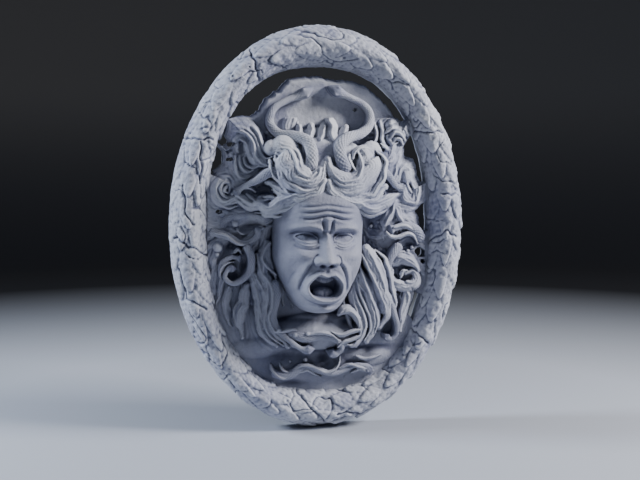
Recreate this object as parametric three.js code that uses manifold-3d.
import * as THREE from "three";
import { mergeVertices } from "three/addons/utils/BufferGeometryUtils.js";
import Module from "manifold-3d";

// A gorgon's head in an oval laurel wreath, carved in high relief from one block of stone.
// Millimetres, +Z up. The flat back lies on y = 0 and the relief stands out towards -Y.
// "Depth" is the distance of a point in front of the flat back.

// Driving dimensions
const WIDTH = 504;
const HEIGHT = 680;
const WREATH = {
  sideBand: 63, topBand: 72, footBand: 66, edge: 9, crest: 62, lean: 1, fullness: 2.35, roundness: 0.95,
};
const FIELD = { thickness: 26, tuck: 12, corners: 40, holeSides: 5 };
const LEAF = { pitch: 66, length: 78, width: 40, rise: 5, root: 5, tilt: 6, swing: 9, rows: [52, 90, 130] };
const RELIEF_DEPTH = 154;
const FINENESS = 0.5;
const STRAND = { step: 24, sides: 5, bury: 6 };

// The head: lengths are for a face of three equal thirds, with the jaw dropped open.
const HEAD = {
  x: -7,
  z: -9,
  roll: 2.2,
  third: 58,
  halfWidth: 75,
  skull: 102,
  root: 34,
};

// The layout below was drawn as it shows from EYE on an upright sheet that stands SHEET in front
// of the back, inside an opening DRAWN wide and high, with the nose at DRAWN.depth.
const EYE = { x: -402.6, z: 149.6, depth: 1924.5 };
const SHEET = 60;
const DRAWN = { halfWidth: 189, halfHeight: 271, depth: 154 };

// The opening inside the wreath, and the figure's scale in it
const INNER = {
  x: WREATH.lean,
  z: (WREATH.footBand - WREATH.topBand) / 2,
  halfWidth: WIDTH / 2 - WREATH.sideBand,
  halfHeight: (HEIGHT - WREATH.footBand - WREATH.topBand) / 2,
};
const SCALE = {
  x: INNER.halfWidth / DRAWN.halfWidth,
  z: INNER.halfHeight / DRAWN.halfHeight,
  depth: RELIEF_DEPTH / DRAWN.depth,
};

const wasm = await Module();
wasm.setup();

// A point of the real block, from its place across, its height and its depth.
function place(x, z, depth) {
  return new THREE.Vector3(x * SCALE.x, -depth * SCALE.depth, z * SCALE.z);
}

// A point drawn on the sheet, carried along the line of sight to its own depth.
function onSight(x, z, depth) {
  const share = (depth - SHEET) / (EYE.depth - SHEET);
  return place(x + share * (EYE.x - x), z + share * (EYE.z - z), depth);
}

const clamp = THREE.MathUtils.clamp;
const smooth = THREE.MathUtils.smoothstep;
const radians = THREE.MathUtils.degToRad;
const bump = (x, z, width, height) => Math.exp(-((x / width) ** 2) - (z / height) ** 2);
const signedPower = (value, power) => Math.sign(value) * Math.abs(value) ** power;

// Moves every vertex of a three.js geometry and gives it back with only its shared positions.
function reshaped(geometry, move) {
  const position = geometry.attributes.position;
  const uv = geometry.attributes.uv;
  const point = new THREE.Vector3();
  for (let i = 0; i < position.count; i += 1) {
    point.fromBufferAttribute(position, i);
    const moved = move(point.clone(), uv.getX(i), uv.getY(i));
    position.setXYZ(i, moved.x, moved.y, moved.z);
  }
  geometry.deleteAttribute("normal");
  geometry.deleteAttribute("uv");
  return mergeVertices(geometry, 1e-3);
}

// A closed geometry as a solid; inside-out ones are turned the right way round.
function solid(geometry) {
  const triVerts = new Uint32Array(geometry.index.array);
  const vertProperties = new Float32Array(geometry.attributes.position.array);
  const made = new wasm.Manifold(new wasm.Mesh({ numProp: 3, vertProperties, triVerts }));
  if (made.volume() > 0) return made;
  for (let i = 0; i < triVerts.length; i += 3) {
    [triVerts[i + 1], triVerts[i + 2]] = [triVerts[i + 2], triVerts[i + 1]];
  }
  return new wasm.Manifold(new wasm.Mesh({ numProp: 3, vertProperties, triVerts }));
}

// The wreath's outer and inner edges at an angle round the oval, counted from the right.
function outerEdge(angle) {
  return new THREE.Vector2((Math.cos(angle) * WIDTH) / 2, (Math.sin(angle) * HEIGHT) / 2);
}

function innerEdge(angle) {
  const power = 2 / WREATH.fullness;
  return new THREE.Vector2(
    INNER.x + INNER.halfWidth * signedPower(Math.cos(angle), power),
    INNER.z + INNER.halfHeight * signedPower(Math.sin(angle), power),
  );
}

// A point on the wreath's rounded face: turn 0 is its outer edge, 90 its crest, 180 its inner edge.
function wreathPoint(angle, turn) {
  const across = (1 - Math.cos(radians(turn))) / 2;
  const edge = outerEdge(angle).lerp(innerEdge(angle), across);
  const swelling = Math.abs(Math.sin(radians(turn))) ** WREATH.roundness;
  return new THREE.Vector3(edge.x, -WREATH.edge - (WREATH.crest - WREATH.edge) * swelling, edge.y);
}

// The wreath's body is a ring. Of each section's corners the first ones lie on the rounded face,
// from the outer edge to the inner one, and the last two on the flat back.
function wreathBody() {
  const corners = 8;
  const faceCorners = corners - 2;
  const sections = 52;
  const ring = new THREE.TorusGeometry(2, 1, corners, sections);
  return solid(
    reshaped(ring, (point, u, v) => {
      const angle = u * 2 * Math.PI;
      const corner = Math.round(v * corners) % corners;
      if (corner < faceCorners) return wreathPoint(angle, (180 * corner) / (faceCorners - 1));
      const across = corner === faceCorners ? 1 : 0;
      const edge = outerEdge(angle).lerp(innerEdge(angle), across);
      return new THREE.Vector3(edge.x, 0, edge.y);
    }),
  );
}

// A repeatable scatter between -1 and 1 from two whole numbers.
function scatter(row, count) {
  const wave = Math.sin(row * 127.1 + count * 311.7) * 43758.5453;
  return 2 * (wave - Math.floor(wave)) - 1;
}

// The angles that part the right half of the wreath's crest, from its top to its foot, into equal
// lengths of about one leaf pitch. OFFSET moves them on by that share of a length.
function evenAngles(offset) {
  const fine = 400;
  const angleAt = (step) => Math.PI / 2 - (step * Math.PI) / fine;
  const sums = [0];
  for (let i = 1; i <= fine; i += 1) {
    const stride = wreathPoint(angleAt(i - 1), 90).distanceTo(wreathPoint(angleAt(i), 90));
    sums.push(sums[i - 1] + stride);
  }
  const count = Math.round(sums[fine] / LEAF.pitch);
  return Array.from({ length: count }, (_, n) => {
    const wanted = ((n + offset) / count) * sums[fine];
    return angleAt(Math.max(1, sums.findIndex((sum) => sum >= wanted)));
  });
}

// One laurel leaf: a three-sided low cone with a long point, laid on the wreath with its tip
// lifted, so that it covers the root of the next one down. The cone's base has its long point
// ahead (z = 1) and two corners behind (z = -1/2); its apex is the leaf's highest place.
function leaf(angle, side, turn, row, count) {
  const step = { angle: 0.02, turn: 6 };
  const share = { ahead: 0.6, behind: 0.4, highest: 0.12, uneven: 0.1 };
  const here = wreathPoint(angle, turn);
  const along = wreathPoint(angle - side * step.angle, turn).sub(here).normalize();
  const across = wreathPoint(angle, turn + step.turn).sub(wreathPoint(angle, turn - step.turn)).normalize();
  const out = new THREE.Vector3().crossVectors(along, across).normalize();
  if (out.y > 0) out.negate();
  along.applyAxisAngle(out, radians(LEAF.swing * scatter(row, count)));
  across.crossVectors(out, along);
  const length = LEAF.length * (1 + share.uneven * scatter(count, row));
  return solid(
    reshaped(new THREE.ConeGeometry(1, 1, 3), (point) => {
      const isApex = point.y > 0;
      const reach = isApex ? share.highest : point.z * (point.z > 0 ? share.ahead : share.behind);
      const lift = isApex ? LEAF.rise : -LEAF.root + LEAF.tilt * point.z;
      return here
        .clone()
        .addScaledVector(along, length * reach)
        .addScaledVector(across, (point.x * LEAF.width) / 2)
        .addScaledVector(out, lift);
    }),
  );
}

// Both halves of the wreath carry the same rows, each row half a leaf on from the last. The
// leaves wander a few degrees over the crest, in another order on each half.
function leaves() {
  const wander = 5;
  return [1, -1].flatMap((side) =>
    LEAF.rows.flatMap((turn, row) =>
      evenAngles(row % 2 ? 0.5 : 0.05).map((fromRight, n) => {
        const angle = side > 0 ? fromRight : Math.PI - fromRight;
        const order = side > 0 ? row : row + LEAF.rows.length;
        return leaf(angle, side, turn + wander * scatter(order, n + 1), order, n);
      }),
    ),
  );
}

// An upright prism through the field, from its outline as [x, z] points on the block.
function prism(outline, from, to) {
  const shape = new THREE.Shape(outline.map(([x, z]) => new THREE.Vector2(x, z)));
  const blank = new THREE.ExtrudeGeometry(shape, { depth: to - from, bevelEnabled: false });
  return solid(reshaped(blank, (point) => new THREE.Vector3(point.x, -from - point.z, point.y)));
}

// The broken gaps between field and wreath: each list runs along the field's own ragged edge,
// and the gap is open from there out to the wreath.
const GAPS = [
  [[-162, 180], [-140, 187], [-121, 186], [-107, 197], [-100, 213], [-76, 230], [-62, 246], [-20, 252],
    [20, 245], [45, 245], [65, 238], [90, 220], [113, 197], [118, 185], [134, 176]],
  [[-160, 179], [-162, 168], [-165, 154], [-159, 148], [-160, 143], [-170, 138]],
  [[-170, 134], [-167, 128], [-168, 112], [-172, 105], [-181, 99], [-184, 91]],
  [[141, 154], [137, 148], [130, 140], [133, 133], [131, 125], [138, 120], [149, 117], [153, 104],
    [155, 90], [159, 82], [162, 75]],
  [[169, 45], [163, 41], [160, 36], [150, 31], [157, 26], [160, 18], [161, 2], [165, -3]],
  [[157, -106], [153, -118], [148, -135], [144, -146]],
];
const HOLES = [
  { x: -155, z: 141, halfWidth: 6, halfHeight: 4 },
  { x: -158, z: 117, halfWidth: 5, halfHeight: 3.5 },
  { x: -176, z: 33, halfWidth: 5, halfHeight: 4 },
  { x: 161, z: -39, halfWidth: 10, halfHeight: 9 },
  { x: 165, z: -54, halfWidth: 5.5, halfHeight: 4 },
  { x: 50, z: 197, halfWidth: 4.5, halfHeight: 3 },
];

// A gap's outline: its field edge, then the same points moved out past the wreath's inner edge.
function gapOutline(edge) {
  const points = edge.map(([x, z]) => onSight(x, z, FIELD.thickness / 3));
  const near = points.map((point) => [point.x, point.z]);
  const far = points.map((point) => {
    const angle = Math.atan2((point.z - INNER.z) / INNER.halfHeight, (point.x - INNER.x) / INNER.halfWidth);
    const out = innerEdge(angle).lerp(outerEdge(angle), 0.3);
    const reach = Math.max(1.03, out.length() / Math.hypot(point.x, point.z));
    return [point.x * reach, point.z * reach];
  });
  return near.concat(far.reverse());
}

function holeOutline({ x, z, halfWidth, halfHeight }) {
  const centre = onSight(x, z, FIELD.thickness / 2);
  return Array.from({ length: FIELD.holeSides }, (_, n) => {
    const angle = (2 * Math.PI * n) / FIELD.holeSides;
    return [centre.x + halfWidth * Math.cos(angle), centre.z + halfHeight * Math.sin(angle)];
  });
}

// Low swellings of the field under the hair, the shoulders and the knot below the chin.
const SWELLS = [
  { x: -118, z: 60, halfWidth: 62, halfHeight: 110, depth: 40 },
  { x: 118, z: 60, halfWidth: 54, halfHeight: 106, depth: 40 },
  { x: 4, z: 98, halfWidth: 92, halfHeight: 58, depth: 92 },
  { x: 0, z: 150, halfWidth: 50, halfHeight: 20, depth: 54 },
  { x: 2, z: -176, halfWidth: 92, halfHeight: 32, depth: 64 },
  { x: -118, z: -206, halfWidth: 36, halfHeight: 26, depth: 38 },
  { x: 78, z: -216, halfWidth: 40, halfHeight: 24, depth: 38 },
];

// A swelling: a low ball whose back half is pressed flat, a little behind its front, in the field.
function swell({ x, z, halfWidth, halfHeight, depth }) {
  const sunk = FIELD.thickness / 3;
  const centre = onSight(x, z, depth);
  return solid(
    reshaped(new THREE.SphereGeometry(1, 8, 4), (point) => {
      const depthHere = point.z > 0 ? Math.max(sunk, depth * Math.sqrt(point.z)) : sunk - 1;
      const at = place(point.x * halfWidth, point.y * halfHeight, depthHere);
      at.x += centre.x;
      at.z += centre.z;
      return at;
    }),
  );
}

// The field's plate, reaching a little way under the wreath
function plate() {
  const outline = Array.from({ length: FIELD.corners }, (_, n) => {
    const angle = (2 * Math.PI * n) / FIELD.corners;
    const point = innerEdge(angle).lerp(outerEdge(angle), FIELD.tuck / WREATH.sideBand);
    return [point.x, point.y];
  });
  return prism(outline, 0, FIELD.thickness);
}

// The face's own measures, in shares of its third unless a name says otherwise; x is across from
// its axis and z is up from its eye line.
const BROW = 0.3;
const NOSE_BASE = -0.74;
const UPPER_LIP = -1.02;
const LOWER_LIP = -1.68;
const CHIN = -2.02;
const EYE_APART = 0.54;

// The nose's tip stands this far out, so that it reaches the relief's depth.
const NOSE_TIP = 24.2;

// How far the carving of the face stands in front of its plain form, in millimetres.
function faceRelief(across, up) {
  const x = Math.abs(across) / HEAD.third;
  const z = up / HEAD.third;
  const noseShare = smooth(-z, 0.0, -NOSE_BASE);
  const nose = bump(x, 0, 0.13 + 0.12 * noseShare, 1) * smooth(z, NOSE_BASE - 0.1, NOSE_BASE + 0.04);
  const bridge = smooth(-z, -0.42, 0.1) * (9 + NOSE_TIP * noseShare);
  const wings = 9 * bump(x - 0.25, z - NOSE_BASE - 0.08, 0.11, 0.13);
  const sockets = -13 * bump(x - EYE_APART * 0.92, z - 0.04, 0.3, 0.2);
  const eyeballs = 10 * bump(x - EYE_APART, z + 0.02, 0.2, 0.13);
  const brows = 7 * bump(x - 0.5, z - BROW + 0.14 * (0.5 - x), 0.42, 0.12);
  const frown = 5 * bump(x - 0.1, z - BROW + 0.05, 0.06, 0.16) - 4 * bump(x, z - BROW, 0.05, 0.18);
  const furrows = 2.5 * Math.cos((z - 0.62) * 40) * bump(x, z - 0.66, 0.62, 0.16);
  const cheeks = 7 * bump(x - 0.72, z + 0.62, 0.36, 0.3) - 6 * bump(x - 0.8, z + 1.25, 0.3, 0.34);
  const folds = -4 * bump(x - 0.5 - 0.35 * clamp(NOSE_BASE - z, -0.2, 0.8), z + 1.0, 0.07, 0.32);
  const mouthMiddle = (UPPER_LIP + LOWER_LIP) / 2;
  const mouthHigh = (UPPER_LIP - LOWER_LIP) / 2;
  const ring = Math.hypot(x / 0.47, (z - mouthMiddle) / mouthHigh);
  const lips = 8 * Math.exp(-(((ring - 1.0) / 0.2) ** 2));
  const cavity = -34 * (1 - smooth(ring, 0.55, 0.9));
  const chin = 7 * bump(x, z - CHIN, 0.3, 0.14) - 4 * bump(x, z - LOWER_LIP + 0.16, 0.4, 0.07);
  const temples = -6 * bump(x - 1.05, z - 0.35, 0.22, 0.4);
  return (
    nose * bridge + wings + sockets + eyeballs + brows + frown + furrows + cheeks + folds + lips + cavity +
    chin + temples
  );
}

// The plain form of the head: half its width and its depth in front of HEAD.root, at a height.
function headWidth(up) {
  return HEAD.halfWidth * (0.56 + 0.44 * smooth(up, (CHIN - 0.3) * HEAD.third, -0.55 * HEAD.third));
}

function headFront(up) {
  const bridge = 9 * bump(0, up + 4, 1, 26);
  const mouth = 3 * bump(0, up + 78, 1, 40);
  return 88 - bridge + mouth - 14 * smooth(up, 0.9 * HEAD.third, HEAD.skull);
}

// The head is an egg standing out of the field: columns bunch towards the face, rows run from
// under the chin to the crown, and the back half stays inside the field.
function head() {
  const foot = (CHIN - 0.2) * HEAD.third;
  const middle = (HEAD.skull + foot) / 2;
  const half = (HEAD.skull - foot) / 2;
  const turn = radians(HEAD.roll);
  return solid(
    reshaped(new THREE.SphereGeometry(1, 28, 28), (point, u, v) => {
      const column = 2 * u - 1;
      const lon = Math.PI * column * (0.42 + 0.58 * column * column);
      const row = clamp(2 * v - 1, -1, 1);
      const round = (1 - row ** 8) ** 0.3;
      const up = middle + half * row;
      const across = headWidth(up) * round * signedPower(Math.sin(lon), 0.9);
      const facing = signedPower(Math.cos(lon), 0.75);
      const front = headFront(up) * facing * round;
      const carved = facing > 0 ? faceRelief(across, up) * smooth(facing * round, 0.25, 0.75) : 0;
      const depth = Math.max(FIELD.thickness / 3, HEAD.root + front + carved);
      const x = HEAD.x + across * Math.cos(turn) + up * Math.sin(turn);
      const z = HEAD.z + up * Math.cos(turn) - across * Math.sin(turn);
      return place(x, z, depth);
    }),
  );
}

// Snakes: body thickness and the line of the back from tail to head, as [x, z, depth].
const SNAKES = [
  { thick: 20, path: [[-22, 98, 112], [-20, 125, 108], [-28, 146, 98], [-50, 154, 84], [-75, 158, 70],
    [-90, 176, 58], [-84, 198, 54], [-62, 212, 52], [-38, 221, 52], [-18, 233, 52]] },
  { thick: 20, path: [[42, 94, 112], [31, 112, 112], [27, 136, 104], [40, 151, 92], [62, 158, 76],
    [77, 172, 62], [78, 191, 54], [68, 205, 52], [45, 217, 52], [22, 227, 52], [5, 235, 52]] },
  { thick: 16, path: [[-68, 97, 98], [-90, 95, 94], [-112, 82, 80], [-132, 73, 66], [-150, 60, 56]] },
  { thick: 13, path: [[-170, 4, 36], [-162, 19, 40], [-145, 25, 46], [-122, 25, 54], [-104, 21, 62],
    [-88, 17, 66]] },
  { thick: 14, path: [[-190, 0, 36], [-172, -4, 42], [-156, -10, 48], [-141, -19, 52], [-125, -18, 56],
    [-112, -7, 56], [-110, 8, 50]] },
  { thick: 13, path: [[-130, -22, 58], [-121, -45, 60], [-124, -66, 58], [-138, -81, 56], [-153, -86, 54],
    [-165, -75, 52], [-158, -62, 50], [-145, -62, 48]] },
  { thick: 12, path: [[-172, -68, 40], [-168, -52, 44], [-154, -43, 48], [-136, -46, 50]] },
  { thick: 15, path: [[-84, -82, 58], [-80, -110, 62], [-86, -140, 66], [-77, -166, 70], [-55, -186, 76],
    [-34, -200, 78], [-15, -199, 78]] },
  { thick: 16, path: [[-62, -168, 68], [-32, -180, 76], [0, -177, 78], [22, -186, 78], [31, -199, 74],
    [20, -209, 70], [6, -203, 64]] },
  { thick: 17, path: [[72, 93, 98], [96, 98, 92], [112, 87, 80], [123, 72, 70], [137, 66, 58]] },
  { thick: 19, path: [[168, -22, 42], [158, -3, 50], [141, 5, 57], [123, 1, 62], [108, -4, 64]] },
  { thick: 16, path: [[131, -26, 52], [120, -42, 58], [113, -57, 60], [111, -71, 56]] },
  { thick: 13, path: [[120, -98, 52], [115, -120, 56], [121, -143, 60], [127, -163, 62], [125, -180, 60],
    [114, -187, 58], [104, -178, 54]] },
  { thick: 14, path: [[-90, -236, 42], [-62, -243, 46], [-35, -230, 50], [-8, -236, 50], [15, -242, 50],
    [38, -236, 50], [58, -229, 50], [77, -236, 48], [80, -248, 44]] },
];

// Locks of hair: width, thickness and the line of the crest, root first.
const LOCKS = [
  { wide: 41, thick: 28, path: [[-86, 134, 84], [-64, 131, 98], [-56, 108, 112], [-42, 89, 118],
    [-20, 82, 120], [-4, 93, 116], [1, 112, 106]] },
  { wide: 14, thick: 16, path: [[-80, 118, 92], [-71, 90, 104], [-52, 70, 114], [-25, 65, 118],
    [-2, 72, 116]] },
  { wide: 19, thick: 18, path: [[4, 80, 120], [-12, 59, 120], [-40, 54, 112], [-64, 49, 100], [-90, 38, 84],
    [-118, 44, 68], [-144, 57, 54]] },
  { wide: 24, thick: 18, path: [[-30, 56, 108], [-55, 62, 100], [-72, 70, 92], [-92, 78, 80]] },
  { wide: 16, thick: 16, path: [[-48, 42, 98], [-66, 36, 90], [-84, 34, 80], [-100, 44, 70], [-122, 40, 60],
    [-146, 50, 50]] },
  { wide: 34, thick: 22, path: [[-160, 155, 42], [-142, 167, 48], [-120, 160, 54], [-113, 138, 60],
    [-106, 116, 66], [-84, 108, 72]] },
  { wide: 19, thick: 16, path: [[-156, 124, 38], [-148, 98, 44], [-136, 86, 48], [-120, 92, 50],
    [-108, 103, 52]] },
  { wide: 17, thick: 16, path: [[-138, 53, 50], [-158, 48, 46], [-175, 56, 44], [-178, 72, 44],
    [-166, 84, 46], [-154, 76, 44], [-157, 66, 42]] },
  { wide: 29, thick: 18, path: [[-128, -90, 46], [-136, -118, 48], [-141, -142, 50], [-136, -167, 48]] },
  { wide: 14, thick: 14, path: [[-158, -92, 38], [-163, -112, 38], [-160, -135, 36], [-152, -156, 34]] },
  { wide: 18, thick: 18, path: [[-120, -64, 46], [-112, -92, 50], [-107, -124, 52], [-106, -154, 54],
    [-96, -178, 58], [-80, -191, 58]] },
  { wide: 19, thick: 18, path: [[-95, -22, 46], [-104, -46, 50], [-99, -78, 54], [-94, -110, 58],
    [-96, -142, 60], [-84, -168, 66], [-60, -193, 68]] },
  { wide: 38, thick: 28, path: [[68, 128, 94], [74, 105, 108], [66, 84, 116], [46, 74, 120], [26, 82, 120],
    [13, 99, 116], [8, 114, 106]] },
  { wide: 13, thick: 16, path: [[84, 110, 96], [80, 86, 106], [62, 68, 114], [40, 62, 118], [20, 68, 118],
    [9, 84, 116]] },
  { wide: 18, thick: 18, path: [[7, 80, 120], [18, 60, 120], [40, 49, 114], [62, 41, 104], [84, 33, 90],
    [104, 36, 76], [120, 49, 62]] },
  { wide: 29, thick: 18, path: [[34, 56, 114], [60, 52, 106], [82, 56, 94], [106, 69, 78]] },
  { wide: 17, thick: 16, path: [[70, 46, 98], [90, 42, 86], [112, 52, 72], [130, 57, 58]] },
  { wide: 23, thick: 18, path: [[64, 128, 92], [80, 134, 82], [92, 120, 72], [103, 111, 65], [115, 120, 58],
    [117, 138, 52], [110, 152, 48]] },
  { wide: 24, thick: 18, path: [[108, 156, 42], [119, 170, 48], [134, 168, 48], [143, 155, 44]] },
  { wide: 16, thick: 16, path: [[134, 72, 58], [139, 53, 54], [151, 47, 52], [161, 57, 50], [157, 74, 48],
    [147, 86, 44]] },
  { wide: 12, thick: 14, path: [[128, 82, 46], [136, 98, 48], [150, 96, 46], [155, 80, 42]] },
  { wide: 19, thick: 16, path: [[105, 4, 54], [111, 24, 56], [121, 33, 54], [133, 22, 52], [147, 11, 46]] },
  { wide: 17, thick: 16, path: [[118, -60, 50], [134, -51, 54], [150, -56, 52], [164, -73, 46]] },
  { wide: 16, thick: 16, path: [[113, -70, 50], [118, -90, 52], [134, -100, 52], [152, -97, 50],
    [161, -84, 46], [152, -72, 46], [140, -75, 46]] },
  { wide: 12, thick: 14, path: [[141, -104, 44], [139, -130, 46], [135, -155, 48], [131, -173, 50]] },
  { wide: 29, thick: 22, path: [[72, -32, 72], [84, -58, 74], [93, -83, 72], [98, -106, 70],
    [106, -130, 66], [108, -150, 62], [98, -167, 58]] },
  { wide: 24, thick: 22, path: [[62, -74, 64], [72, -98, 68], [79, -122, 68], [85, -145, 68],
    [86, -166, 66], [75, -190, 60]] },
  { wide: 19, thick: 20, path: [[55, -84, 58], [53, -110, 62], [59, -132, 66], [66, -152, 70],
    [66, -175, 70], [53, -197, 64]] },
  { wide: 12, thick: 16, path: [[25, -143, 70], [44, -138, 75], [58, -150, 74], [60, -169, 70]] },
  { wide: 13, thick: 16, path: [[-40, 148, 62], [-38, 169, 54]] },
  { wide: 14, thick: 16, path: [[-22, 150, 66], [-20, 172, 56]] },
  { wide: 17, thick: 18, path: [[-4, 148, 70], [1, 171, 60]] },
  { wide: 20, thick: 20, path: [[14, 148, 72], [10, 179, 60]] },
  { wide: 14, thick: 18, path: [[29, 148, 66], [35, 167, 58]] },
];

// A lock narrows at its root and more at its tip. A snake thins from its tail to its neck, then
// its head swells and ends in a blunt snout.
const lockTaper = (t) => 0.62 + 0.38 * smooth(t, 0, 0.15) - 0.5 * smooth(t, 0.6, 1);

function snakeTaper(t) {
  const neck = 1 - 0.34 * smooth(t, 0, 0.85);
  return neck + 0.42 * smooth(t, 0.82, 0.93) - 0.6 * smooth(t, 0.93, 1);
}

// A closed strand: a cylinder bent along the line through the given points, its section WIDE
// across the block and THICK out of it. Its back goes down into the field, as the carver left it.
function strand({ wide, thick, path }, taper) {
  const width = (wide ?? thick) * SCALE.x;
  const rise = thick * SCALE.depth;
  const points = path.map(([x, z, depth]) => onSight(x, z, depth - thick / 2));
  const line = new THREE.CatmullRomCurve3(points, false, "centripetal");
  const steps = Math.max(2, Math.round(line.getLength() / STRAND.step));
  const blank = new THREE.CylinderGeometry(0.5, 0.5, 1, STRAND.sides, steps);
  const toViewer = new THREE.Vector3(0, -1, 0);
  return solid(
    reshaped(blank, (point) => {
      const t = clamp(point.y + 0.5, 0, 1);
      const along = line.getTangentAt(t);
      const out = toViewer.clone().addScaledVector(along, -toViewer.dot(along)).normalize();
      const side = new THREE.Vector3().crossVectors(along, out);
      const at = line.getPointAt(t).addScaledVector(side, point.x * width * taper(t));
      if (point.z < -0.3) at.y = -FIELD.thickness + STRAND.bury;
      else at.addScaledVector(out, point.z * rise * taper(t));
      return at;
    }),
  );
}

// Everything is one block: the carving on the field is joined, the gaps are cut through it, and
// the wreath is joined round it. Corners that change its face by less than FINENESS are left out,
// and only the outer shell is kept, so no hollow is sealed inside.
function relief() {
  const carving = [
    head(),
    ...SWELLS.map(swell),
    ...SNAKES.map((snake) => strand(snake, snakeTaper)),
    ...LOCKS.map((lock) => strand(lock, lockTaper)),
  ].reduce((sum, one) => sum.add(one), plate());
  const cuts = GAPS.map(gapOutline).concat(HOLES.map(holeOutline));
  const pierced = cuts.reduce((sum, cut) => sum.subtract(prism(cut, -1, RELIEF_DEPTH)), carving);
  const joined = [wreathBody(), ...leaves()].reduce((sum, one) => sum.add(one), pierced);
  const shells = joined.simplify(FINENESS).decompose().sort((one, other) => other.volume() - one.volume());
  const { numProp, vertProperties, triVerts } = shells[0].getMesh();
  const geometry = new THREE.BufferGeometry();
  geometry.setAttribute("position", new THREE.BufferAttribute(vertProperties, numProp));
  geometry.setIndex(new THREE.BufferAttribute(triVerts, 1));
  geometry.computeVertexNormals();
  return geometry;
}

const stone = new THREE.MeshStandardMaterial({ color: 0x9a9cab, roughness: 0.85, metalness: 0 });
const block = new THREE.Mesh(relief(), stone);
block.name = "gorgon_relief";

const mask = new THREE.Group();
mask.add(block);

export default mask;
